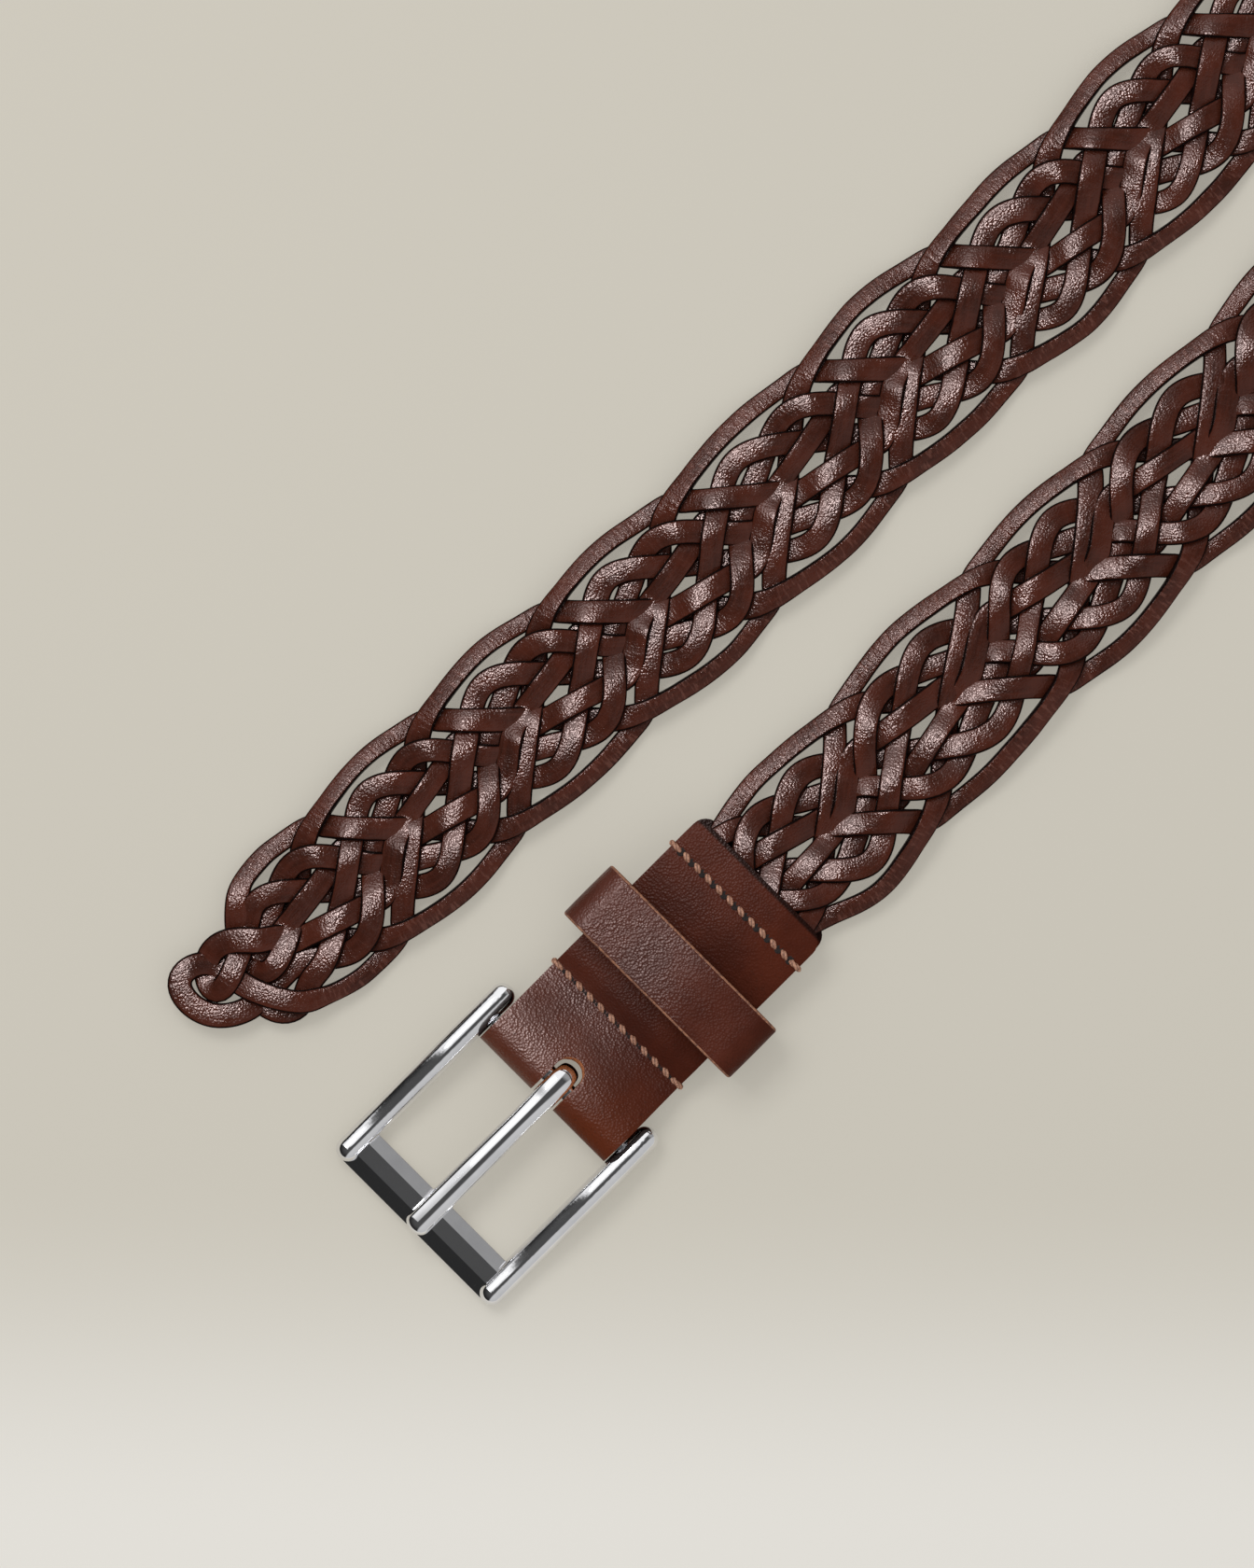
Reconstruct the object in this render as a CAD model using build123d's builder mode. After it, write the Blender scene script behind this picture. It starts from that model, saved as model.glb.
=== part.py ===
from build123d import *

import math
import os

# A braided leather belt with a prong buckle, laid down face up with its two ends side by side.
# The origin is the heel pin's centre. +X runs along the strap away from the buckle, +Y to the
# strap's left and +Z out of its face. All sizes are in millimetres.

# Leather, heel pin and the fold round it
leather = 2.0
pin_radius = 1.75
running_gap = 0.08
fold_inner = pin_radius + running_gap
fold_middle = fold_inner + leather / 2
floor = -(fold_inner + leather)
back_face = floor + leather

# Buckle
window_width = 30.4
arm_radius = 2.2
arm_y = window_width / 2 + arm_radius
frame_front = -35.5
frame_rear = 6.1
arm_droop = 0.9
bar_width = 7.6
bar_thickness = 3.4
front_bevel = 2.6
rear_bevel = 2.3
bevel_drop = 1.7
bar_edge = 0.4
tenon_radius = 1.1
tenon_end = arm_y + 1.2
shoulder_gap = 0.05

# Prong
eye_radius = 3.8
eye_offset = 0.8
eye_width = 3.8
shank_start = -1.0
shank_level = 2.0
shank_rise = 0.15
root_height = 3.4
neck_share = 0.25
neck_width = 4.2
neck_height = 3.5
full_share = 0.55
shank_width = 4.6
shank_height = 3.7
tip_height = 3.4
tip_round = 1.1
prong_gap = 0.05

# Folded tab, its prong slot and its two seams
tab_width = 30.0
tab_front_end = 49.7
tab_back_end = 51.0
tab_corner = 3.0
slot_width = 5.3
slot_end = 6.5
layer_gap = 0.05
first_seam = 14.5
second_seam = 43.1
stitch_pitch = 3.55
stitch_count = 9
thread = 0.7

# Keeper, a leather ring with a skived back run between the tab's layers
keeper_x = 27.3
keeper_width = 11.7
keeper_across = 40.0
keeper_back = 1.3
keeper_travel = 3.0
tail_room = 5.2
keeper_corner = 4.5
staple_wire = 0.5
staple_width = 6.0
staple_clench = 2.0

# Braid, made as five lanes side by side
braid_width = 32.0
braid_thickness = 4.2
edge_width = 3.2
edge_thickness = 3.0
lane_gap = 0.4
sewn_thickness = 2.95
sewn_width = 28.6
sewn_start = 39.0

# Path of the strap on the floor
leg_start = 66.0
leg_y = -1.0
flat_end = 220.0
twist_end = 300.0
twist_sections = 9
outward_radius = 90.0
loop_radius = 60.0
tail_y = 49.6
tail_tilt = 2.35
bend_start = 10.0
bend_radius = 264.0
bend_angle = 9.3
tip_share = 0.28
tip_taper = 26.0
tip_sections = 8

leg_height = floor + braid_thickness / 2
edge_height = floor + braid_width / 2
buckle_heading = Vector(1, 0, 0)
tail_heading = Vector(-1, 0, 0).rotate(Axis.Z, -tail_tilt)


def tail_point(x):
    """Centre of the tail leg, on its straight run, at a distance along X."""
    return Vector(x, tail_y - x * math.tan(math.radians(tail_tilt)), 0)


def across_plane(centre, heading, height, roll=0.0):
    """Plane across the strap: X to its left, Y out of its face, Z along it."""
    left = Vector(0, 0, 1).cross(heading).normalized()
    angle = math.radians(roll)
    width_direction = left * math.cos(angle) + Vector(0, 0, 1) * math.sin(angle)
    return Plane(Vector(centre.X, centre.Y, height), x_dir=width_direction, z_dir=heading)


def twist_planes(start, end, heading):
    """Planes through a quarter twist that lifts the strap from its back onto its edge."""
    planes = []
    for index in range(twist_sections):
        share = index / (twist_sections - 1)
        roll = 90 * share * share * (3 - 2 * share)
        sine = math.sin(math.radians(roll))
        cosine = math.cos(math.radians(roll))
        height = floor + braid_width / 2 * sine + braid_thickness / 2 * cosine
        planes.append(across_plane(start + (end - start) * share, heading, height, roll))
    return planes


# The loop stands on its edge. One arc leads outward from each leg, and both meet the round end.
buckle_twist_end = Vector(twist_end, leg_y, 0)
tail_twist_end = tail_point(twist_end)
buckle_side = buckle_twist_end + buckle_heading.rotate(Axis.Z, -90) * outward_radius
tail_side = tail_twist_end + tail_heading.rotate(Axis.Z, -90) * outward_radius
side_gap = tail_side - buckle_side
reach = math.sqrt((outward_radius + loop_radius) ** 2 - (side_gap.length / 2) ** 2)
loop_centre = (buckle_side + tail_side) / 2 + side_gap.normalized().rotate(Axis.Z, -90) * reach
buckle_turn = math.degrees(math.atan2(
    loop_centre.X - buckle_side.X, loop_centre.Y - buckle_side.Y))
tail_turn = math.degrees(math.atan2(
    loop_centre.X - tail_side.X, tail_side.Y - loop_centre.Y)) + tail_tilt
loop_turn = 180 - tail_tilt + buckle_turn + tail_turn

with BuildLine():
    tip_bend = JernArc(tail_point(bend_start), tail_heading, bend_radius, -bend_angle)
bend_length = math.radians(bend_angle) * bend_radius


def lace_lane(inner, outer, thickness):
    """One lane of the braid, from inside the tab, round the loop and back to the tail's tip."""
    middle = (inner + outer) / 2
    width = outer - inner
    sewn_scale = sewn_width / braid_width
    sewn_height = back_face + layer_gap / 2 + sewn_thickness / 2
    buckle_twist = twist_planes(Vector(flat_end, leg_y, 0), buckle_twist_end, buckle_heading)
    tail_twist = twist_planes(tail_point(flat_end), tail_twist_end, tail_heading)
    tail_leg = across_plane(tail_point(flat_end), tail_heading, leg_height)
    tail_leg_length = (tail_point(flat_end) - tail_point(bend_start)).length
    with BuildPart() as lane:
        # Squeezed between the tab's layers, then spreading to the full section.
        for x in (sewn_start, tab_back_end):
            with BuildSketch(across_plane(Vector(x, 0, 0), buckle_heading, sewn_height)):
                with Locations((middle * sewn_scale, 0)):
                    Rectangle(width * sewn_scale, min(thickness, sewn_thickness))
        with BuildSketch(across_plane(Vector(leg_start, leg_y, 0), buckle_heading, leg_height)):
            with Locations((middle, 0)):
                Rectangle(width, thickness)
        loft(ruled=True)
        # Buckle leg
        with BuildSketch(across_plane(Vector(leg_start, leg_y, 0), buckle_heading, leg_height)):
            with Locations((middle, 0)):
                Rectangle(width, thickness)
        extrude(amount=flat_end - leg_start)
        # Quarter twists, up from the buckle leg and down to the tail leg
        for planes in (buckle_twist, tail_twist):
            for plane in planes:
                with BuildSketch(plane):
                    with Locations((middle, 0)):
                        Rectangle(width, thickness)
            loft()
        # Round loop on its edge
        with BuildSketch(Plane.XY.offset(edge_height + inner)):
            with BuildLine():
                lead = JernArc(buckle_twist_end, buckle_heading, outward_radius, -buckle_turn)
                turn = JernArc(lead @ 1, lead % 1, loop_radius, loop_turn)
                JernArc(turn @ 1, turn % 1, outward_radius, -tail_turn)
            trace(line_width=thickness)
        extrude(amount=width)
        # Tail leg
        with BuildSketch(tail_leg):
            with Locations((middle, 0)):
                Rectangle(width, thickness)
        extrude(amount=tail_leg_length)
        # Bent and narrowing tip
        for index in range(tip_sections):
            share = index / (tip_sections - 1)
            tip_distance = bend_length * (1 - share)
            fullness = math.sin(math.pi / 2 * min(tip_distance / tip_taper, 1))
            scale = tip_share + (1 - tip_share) * fullness
            with BuildSketch(across_plane(tip_bend @ share, tip_bend % share, leg_height)):
                with Locations((middle * scale, 0)):
                    Rectangle(width * scale, thickness)
        loft(ruled=True)
    return lane


# Frame: two round arms and a bevelled front bar in one casting
arm_front = frame_front + arm_radius
arm_rear = frame_rear - arm_radius
arm_front_z = floor + arm_radius
bar_top = floor + bar_thickness
bar_rear = frame_front + bar_width
with BuildPart() as buckle_frame:
    with BuildSketch(Plane.XZ):
        with BuildLine():
            Polyline(
                (frame_front, bar_top - bevel_drop),
                (frame_front + front_bevel, bar_top),
                (bar_rear - rear_bevel, bar_top),
                (bar_rear, bar_top - bevel_drop),
                (bar_rear, floor + bar_edge),
                (bar_rear - bar_edge, floor),
                (frame_front + bar_edge, floor),
                (frame_front, floor + bar_edge),
                close=True,
            )
        make_face()
    extrude(amount=arm_y, both=True)
    fillet(buckle_frame.edges().filter_by(Axis.Y), bar_edge / 2)
    for side in (-arm_y, arm_y):
        with BuildLine() as arm_line:
            arm_path = Spline(
                (arm_front, side, arm_front_z),
                (arm_front / 2, side, arm_front_z / 4),
                (0, side, 0),
                (arm_rear, side, -arm_droop),
            )
        with BuildSketch(Plane(arm_path @ 0, z_dir=arm_path % 0)):
            Circle(arm_radius)
        sweep(path=arm_path)
        with Locations(arm_path @ 0, arm_path @ 1):
            Sphere(arm_radius)
    with BuildSketch(Plane.XZ):
        Circle(tenon_radius)
    extrude(amount=tenon_end, both=True, mode=Mode.SUBTRACT)

# Heel pin: a round bar with a turned-down tenon pressed into each arm
with BuildPart() as heel_pin:
    with BuildSketch(Plane.XZ):
        Circle(tenon_radius)
    extrude(amount=tenon_end, both=True)
    with BuildSketch(Plane.XZ):
        Circle(pin_radius)
    extrude(amount=window_width / 2 - shoulder_gap, both=True)

# Prong: an eye round the heel pin and a tapering shank that rests on the front bar
shank_sections = (
    (shank_start, shank_level, eye_width, root_height),
    (frame_front * neck_share, shank_level + shank_rise, neck_width, neck_height),
    (frame_front * full_share, shank_level, shank_width, shank_height),
    (frame_front, bar_top + prong_gap + tip_height / 2, shank_width, tip_height),
)
with BuildPart() as prong:
    for x, z, width, height in shank_sections:
        with BuildSketch(Plane.YZ.offset(x)):
            with Locations((0, z)):
                Ellipse(width / 2, height / 2)
    loft()
    fillet(prong.edges().sort_by(Axis.X)[0], tip_round)
    with BuildSketch(Plane.XZ):
        with Locations((eye_offset, 0)):
            Circle(eye_radius)
    extrude(amount=eye_width / 2, both=True)
    with BuildSketch(Plane.XZ):
        Circle(fold_inner)
    extrude(amount=eye_width, both=True, mode=Mode.SUBTRACT)

# Tab: one piece of leather folded round the heel pin. Its front layer dips to the first seam,
# lifts over the keeper's back run and ends on top of the braid.
keeper_layer = back_face + keeper_back + 3 * layer_gap + leather / 2
seam_layer = back_face + layer_gap + leather / 2
sewn_layer = back_face + layer_gap + sewn_thickness + leather / 2
keeper_nearest = keeper_x - keeper_width / 2 - keeper_travel
with BuildPart() as chape:
    with BuildSketch(Plane.XZ):
        with BuildLine():
            Spline(
                (tab_front_end, sewn_layer + 2 * layer_gap),
                (sewn_start, sewn_layer),
                (keeper_x, keeper_layer),
                (keeper_nearest, keeper_layer),
                (first_seam, seam_layer),
                tangents=[(-1, 0), (-1, 0)],
            )
            Spline(
                (first_seam, seam_layer),
                (slot_end, fold_middle / 2),
                (0, fold_middle),
                tangents=[(-1, 0), (-1, 0)],
            )
            CenterArc((0, 0), fold_middle, 90, 180)
            Line((0, -fold_middle), (tab_back_end, -fold_middle))
        trace(line_width=leather)
    extrude(amount=tab_width / 2, both=True)
    with BuildSketch(Plane.XY) as tab_outline:
        with Locations(((tab_back_end + floor) / 2, 0)):
            Rectangle(tab_back_end - floor, tab_width)
        fillet(tab_outline.vertices().group_by(Axis.X)[-1], tab_corner)
    extrude(amount=2 * fold_middle, both=True, mode=Mode.INTERSECT)
    with BuildSketch(Plane.XY):
        with Locations((slot_end - slot_width / 2, 0)):
            Circle(slot_width / 2)
        with Locations((floor, 0)):
            Rectangle(2 * (slot_end - slot_width / 2 - floor), slot_width)
    extrude(amount=2 * fold_middle, both=True, mode=Mode.SUBTRACT)

# Seams: thread that wraps both edges of the tab and passes through it at each stitch hole
seam_pieces = {}
seam_tops = {
    "seam_buckle_side": (first_seam, seam_layer + leather / 2),
    "seam_braid_side": (second_seam, sewn_layer + leather / 2 + layer_gap),
}
for seam_name, (seam_x, seam_top) in seam_tops.items():
    seam_bottom = floor + layer_gap
    seam_rise = seam_top + thread / 2 - seam_bottom
    with BuildPart() as seam:
        with BuildSketch(Plane.YZ.offset(seam_x)):
            with Locations((0, seam_bottom + seam_rise / 2)):
                RectangleRounded(tab_width + 2 * thread, seam_rise, thread)
                Rectangle(tab_width + layer_gap, seam_rise - 2 * thread, mode=Mode.SUBTRACT)
        extrude(amount=thread / 2, both=True)
        with BuildSketch(Plane.XY.offset(seam_bottom + thread / 2)):
            with Locations((seam_x, 0)):
                with GridLocations(1, stitch_pitch, 1, stitch_count):
                    Circle(thread / 2)
        extrude(amount=seam_rise - thread)
    seam_pieces[seam_name] = seam

# Keeper and the wire staple that closes it, hidden between the tab's layers
keeper_bottom = back_face + layer_gap
keeper_inside = keeper_bottom + keeper_back
keeper_top = keeper_layer + leather / 2 + tail_room + leather
staple_top = keeper_inside - staple_wire / 2 - layer_gap
staple_bottom = keeper_bottom + staple_wire / 2 + layer_gap
with BuildPart() as keeper_staple:
    with BuildLine(Plane.YZ.offset(keeper_x)):
        staple_path = FilletPolyline(
            (-staple_width / 2 + staple_clench, staple_bottom),
            (-staple_width / 2, staple_bottom),
            (-staple_width / 2, staple_top),
            (staple_width / 2, staple_top),
            (staple_width / 2, staple_bottom),
            (staple_width / 2 - staple_clench, staple_bottom),
            radius=staple_wire / 2 + layer_gap,
        )
    with BuildSketch(Plane(staple_path @ 0, z_dir=staple_path % 0)):
        Circle(staple_wire / 2)
    sweep(path=staple_path)

with BuildPart() as keeper_loop:
    with BuildSketch(Plane.YZ.offset(keeper_x)):
        with Locations((0, (keeper_bottom + keeper_top) / 2)):
            RectangleRounded(keeper_across, keeper_top - keeper_bottom, keeper_corner)
        with Locations((0, (keeper_inside + keeper_top - leather) / 2)):
            RectangleRounded(
                keeper_across - 2 * leather,
                keeper_top - leather - keeper_inside,
                keeper_corner - leather,
                mode=Mode.SUBTRACT,
            )
    extrude(amount=keeper_width / 2, both=True)
    add(keeper_staple.part, mode=Mode.SUBTRACT)

# Braid lanes: a narrow one along each edge and three broad ones between them
edge_inner = braid_width / 2 - edge_width
core_outer = edge_inner - lane_gap
edge_lace_a = lace_lane(edge_inner, braid_width / 2, edge_thickness)
edge_lace_b = lace_lane(-braid_width / 2, -edge_inner, edge_thickness)
core_inner = core_outer / 3 - 2 * lane_gap / 3
core_lace_a = lace_lane(core_inner + lane_gap, core_outer, braid_thickness)
core_lace_b = lace_lane(-core_inner, core_inner, braid_thickness)
core_lace_c = lace_lane(-core_outer, -core_inner - lane_gap, braid_thickness)

pieces = {
    "buckle_frame": buckle_frame,
    "heel_pin": heel_pin,
    "prong": prong,
    "chape": chape,
    **seam_pieces,
    "keeper_loop": keeper_loop,
    "keeper_staple": keeper_staple,
    "edge_lace_a": edge_lace_a,
    "edge_lace_b": edge_lace_b,
    "core_lace_a": core_lace_a,
    "core_lace_b": core_lace_b,
    "core_lace_c": core_lace_c,
}
os.makedirs("parts", exist_ok=True)
for name, piece in pieces.items():
    piece.part.label = name
    export_step(piece.part, f"parts/{name}.step")
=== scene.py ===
import math

import bmesh
import bpy
import numpy as np
from mathutils import Matrix, Vector
from mathutils.geometry import delaunay_2d_cdt


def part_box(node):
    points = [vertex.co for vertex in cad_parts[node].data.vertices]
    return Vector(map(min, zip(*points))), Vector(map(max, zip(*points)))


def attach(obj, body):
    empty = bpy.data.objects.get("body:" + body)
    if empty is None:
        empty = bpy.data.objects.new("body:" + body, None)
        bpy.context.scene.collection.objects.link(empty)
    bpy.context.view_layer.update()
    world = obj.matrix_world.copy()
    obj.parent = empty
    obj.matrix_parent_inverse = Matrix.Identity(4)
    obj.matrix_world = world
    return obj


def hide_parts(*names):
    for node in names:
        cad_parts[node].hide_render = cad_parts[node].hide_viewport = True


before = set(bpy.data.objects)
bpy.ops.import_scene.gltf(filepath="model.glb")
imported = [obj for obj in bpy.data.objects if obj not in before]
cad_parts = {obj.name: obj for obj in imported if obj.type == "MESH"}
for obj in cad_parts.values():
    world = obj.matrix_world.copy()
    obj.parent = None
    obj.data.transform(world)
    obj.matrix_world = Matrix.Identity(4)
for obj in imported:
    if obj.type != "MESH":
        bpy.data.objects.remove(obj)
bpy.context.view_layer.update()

# Lengths in this script are in millimetres, in the frame's axes, and are turned into metres
# when a mesh is made, a light placed or a shader written. Strap coordinates are along (from the
# tail's tip), across (from the strap's middle, positive to the left of the way from buckle to
# tip) and height (out of the face).
MM = 0.001


def box_mm(node):
    """Lowest and highest corners of a CAD node in millimetres."""
    low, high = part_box(node)
    return np.array(low) / MM, np.array(high) / MM


TAB_LOW, TAB_HIGH = box_mm("chape")
KEEPER_LOW, KEEPER_HIGH = box_mm("keeper_loop")
FIRST_SEAM_LOW, FIRST_SEAM_HIGH = box_mm("seam_buckle_side")
SECOND_SEAM_LOW, SECOND_SEAM_HIGH = box_mm("seam_braid_side")
FLOOR = TAB_LOW[2]
LEATHER = 2.0
TAB_WIDTH = TAB_HIGH[1] - TAB_LOW[1]
FIRST_SEAM = (FIRST_SEAM_LOW[0] + FIRST_SEAM_HIGH[0]) / 2
SECOND_SEAM = (SECOND_SEAM_LOW[0] + SECOND_SEAM_HIGH[0]) / 2

# --- Path of the strap ---
SEWN_START = 39.0
LEG_START = 66.0
LEG_Y = -1.0
FLAT_END = 220.0
TWIST_END = 300.0
OUTWARD_RADIUS = 90.0
LOOP_RADIUS = 60.0
TAIL_Y = 49.6
TAIL_TILT = math.radians(2.35)
BEND_START = 10.0
BEND_RADIUS = 264.0
BEND_ANGLE = math.radians(9.3)
STRAP_WIDTH = 32.0
PATH_STEP = 0.25
TIP_EXTRA = 12.0
BRAID_MIDDLE = FLOOR + 2.7
SEWN_MIDDLE = FLOOR + LEATHER + 1.55


def smooth_step(value):
    """Rise smoothly from 0 to 1."""
    value = np.clip(value, 0.0, 1.0)
    return value * value * (3.0 - 2.0 * value)


def resample(values, distance, wanted):
    """Read each column of values at the wanted distances."""
    return np.stack([np.interp(wanted, distance, column) for column in values.T], 1)


def distances(points):
    """Length along a line of points, from its first point to each."""
    steps = np.linalg.norm(np.diff(points, axis=0), axis=1)
    return np.concatenate([[0.0], np.cumsum(steps)])


def directions(points):
    """Direction of a line at each of its points."""
    tangent = np.gradient(points, axis=0)
    return tangent / np.linalg.norm(tangent, axis=1)[:, None]


def smooth_curve(at, value, slope, wanted):
    """Cubic curve through values with given slopes."""
    index = np.clip(np.searchsorted(at, wanted, side="right") - 1, 0, len(at) - 2)
    width = at[index + 1] - at[index]
    share = (wanted - at[index]) / width
    return ((2 * share ** 3 - 3 * share ** 2 + 1) * value[index]
            + (share ** 3 - 2 * share ** 2 + share) * width * slope[index]
            + (3 * share ** 2 - 2 * share ** 3) * value[index + 1]
            + (share ** 3 - share ** 2) * width * slope[index + 1])


def loop_turns():
    """Turn angles of the arc out of the buckle leg, the round loop and the arc into the tail leg."""
    tail_twist = np.array([TWIST_END, TAIL_Y - TWIST_END * math.tan(TAIL_TILT)])
    buckle_side = np.array([TWIST_END, LEG_Y - OUTWARD_RADIUS])
    tail_side = tail_twist + OUTWARD_RADIUS * np.array([math.sin(TAIL_TILT), math.cos(TAIL_TILT)])
    gap = tail_side - buckle_side
    half = np.linalg.norm(gap) / 2
    reach = math.sqrt((OUTWARD_RADIUS + LOOP_RADIUS) ** 2 - half ** 2)
    centre = (buckle_side + tail_side) / 2 + np.array([gap[1], -gap[0]]) / (2 * half) * reach
    first = math.atan2(centre[0] - buckle_side[0], centre[1] - buckle_side[1])
    last = math.atan2(centre[0] - tail_side[0], tail_side[1] - centre[1]) + TAIL_TILT
    return first, math.pi - TAIL_TILT + first + last, last


def strap_path():
    """Stations every PATH_STEP from past the tip to inside the tab: centres and two of three axes."""
    first, round_loop, last = loop_turns()
    tail_straight = (TWIST_END - BEND_START) / math.cos(TAIL_TILT)
    lengths = [TWIST_END - SEWN_START, first * OUTWARD_RADIUS, round_loop * LOOP_RADIUS,
               last * OUTWARD_RADIUS, tail_straight, BEND_ANGLE * BEND_RADIUS, TIP_EXTRA]
    bends = [0.0, -1 / OUTWARD_RADIUS, 1 / LOOP_RADIUS, -1 / OUTWARD_RADIUS, 0.0,
             -1 / BEND_RADIUS, 0.0]
    ends = np.cumsum(lengths)
    count = int(ends[-1] / PATH_STEP) + 1
    distance = np.arange(count) * PATH_STEP
    middle = distance[:-1] + PATH_STEP / 2
    bend = np.array(bends)[np.minimum(np.searchsorted(ends, middle), len(bends) - 1)]
    heading = np.concatenate([[0.0], np.cumsum(bend * PATH_STEP)])
    mean_heading = (heading[1:] + heading[:-1]) / 2
    x = SEWN_START + np.concatenate([[0.0], np.cumsum(np.cos(mean_heading) * PATH_STEP)])
    y = LEG_Y + np.concatenate([[0.0], np.cumsum(np.sin(mean_heading) * PATH_STEP)])
    rise_length = TWIST_END - FLAT_END
    out = smooth_step((distance - (FLAT_END - SEWN_START)) / rise_length)
    back_start = ends[3]
    back = smooth_step((distance - back_start) / (rise_length / math.cos(TAIL_TILT)))
    roll = math.pi / 2 * (out - back)
    on_edge = FLOOR + STRAP_WIDTH / 2
    height = BRAID_MIDDLE + (on_edge - BRAID_MIDDLE) * np.sin(roll)
    into_tab = 1.0 - smooth_step((x - TAB_HIGH[0] + 1.0) / (LEG_START - TAB_HIGH[0]))
    leaving = distance < lengths[0]
    y = y - np.where(leaving, LEG_Y * into_tab, 0.0)
    height = height + np.where(leaving, (SEWN_MIDDLE - BRAID_MIDDLE) * into_tab, 0.0)
    tangent = np.stack([np.cos(heading), np.sin(heading), 0 * heading], 1)
    left = np.stack([-np.sin(heading) * np.cos(roll), np.cos(heading) * np.cos(roll),
                     np.sin(roll)], 1)
    normal = np.cross(tangent, left)
    centre = np.stack([x, y, height], 1)
    length = ends[5]
    return {"along": length - distance[::-1], "centre": centre[::-1], "left": left[::-1],
            "normal": normal[::-1], "length": length}


PATH = strap_path()


def strap_axis(name, along):
    """The strap's centre, or its left or normal direction, at each distance from the tip."""
    return resample(PATH[name], PATH["along"], along)


def on_strap(along, across, height):
    """Points of the belt's frame from strap coordinates."""
    return (strap_axis("centre", along) + strap_axis("left", along) * across[:, None]
            + strap_axis("normal", along) * height[:, None])


# --- The braid: ten strands in a flat plait, with one edge turn in each period drawn out as a loop ---
LACE_WIDTH = 4.25
LACE_THICKNESS = 1.4
CELL_STEPS = 48
WEAVE_ROUNDS = 320
CROSSING_REACH = 0.50
STRAND_STEP = 0.75
LACE_STEP = 0.7
LOOP_REACH = 26.0
LOOP_LEAN = 0.28
LOOP_NARROWING = 0.22
SEWN_SHARE = 0.89
SEWN_FLATTENING = 0.25
SEWN_FROM, SEWN_OVER = 24.0, 16.0
LOOSE_FROM, LOOSE_OVER = 10.8, 2.2
WIDTH_CHANGE = 0.035
WIDTH_CHANGE_STEP = 9
PATTERN_SHIFT = 37.0

# How the laces push each other apart where they cross: sample points over a lace's width, how
# close two of them count as touching, and how fast height and roll follow and settle.
SAMPLE_REACH = 0.42
SAMPLE_COUNT = 5
TOUCH_REACH = 0.55
LACE_CLEARANCE = 1.02
HEIGHT_RATE, ROLL_RATE = 1.6, 0.8
HEIGHT_KEPT, ROLL_KEPT = 0.995, 0.97
ROLL_LIMIT = 0.45
FAR = 99.0

# Where the drawn-out loops of an edge cross, in millimetres from the tip, and how many periods in.
# The hidden stretch between the two legs is even.
CROSSING_ALONG = (33.7, 60.6, 89.2, 118.0, 149.3, 178.1, 206.7, 235.1, 882.0, 912.7, 942.0, 974.8)
CROSSING_PERIOD = (0, 1, 2, 3, 4, 5, 6, 7, 29, 30, 31, 32)
PERIOD = 28.8

# The hand-made braid isn't even: at these distances its middle wanders to the left by the second
# number, and its left edge runs ahead of its right edge by the third.
WANDER = ((16, 0.6, 0.0), (26, 0.4, 0.5), (49, 0.0, 0.9), (76, 0.0, 0.3), (108, 1.3, -2.4),
          (134, 1.1, -1.0), (162, 0.1, 1.6), (190, 1.1, 2.6), (220, -0.6, 3.5), (300, 0.0, 0.0),
          (860, 0.0, 0.0), (897, -0.4, 0.8), (930, -0.4, 1.6), (957, 0.4, 2.0), (986, -0.6, 1.4),
          (1013, 0.0, 0.0))


def mirrored(half, periods):
    """A strand's crossings on its way up, then the same on its way down."""
    return half + [(station + periods, -across) for station, across in half]


# Station in periods and distance across of points that each kind of strand goes through.
# The first kind is drawn out as a loop at both edges; the others turn inside the loops.
STRANDS = (
    {"nodes": mirrored([(0.0, -11.9), (0.10, -8.9), (0.21, -6.1), (0.34, -3.0), (0.47, 0.0),
                        (0.59, 3.0), (0.70, 6.1), (0.80, 9.0), (0.90, 10.9), (1.0, 12.0),
                        (1.12, 12.8), (1.25, 13.5), (1.42, 14.1), (1.6, 14.1), (1.78, 13.4),
                        (1.9, 12.8)], 2), "periods": 4},
    {"nodes": mirrored([(0.40, -9.7), (0.52, -8.6), (0.64, -6.1), (0.76, -3.0), (0.89, 0.0),
                        (1.02, 3.0), (1.17, 6.2), (1.28, 8.6)], 1), "periods": 2},
    {"nodes": mirrored([(0.74, -9.4), (0.87, -8.0), (0.98, -5.0), (1.10, -1.0), (1.24, 2.6),
                        (1.40, 5.0), (1.52, 6.9), (1.62, 8.5)], 1), "periods": 2},
    {"nodes": mirrored([(0.08, -5.4), (0.19, -3.2), (0.33, 0.0), (0.51, 1.9), (0.70, 3.0),
                        (0.90, 4.2)], 1), "periods": 2},
)

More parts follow.
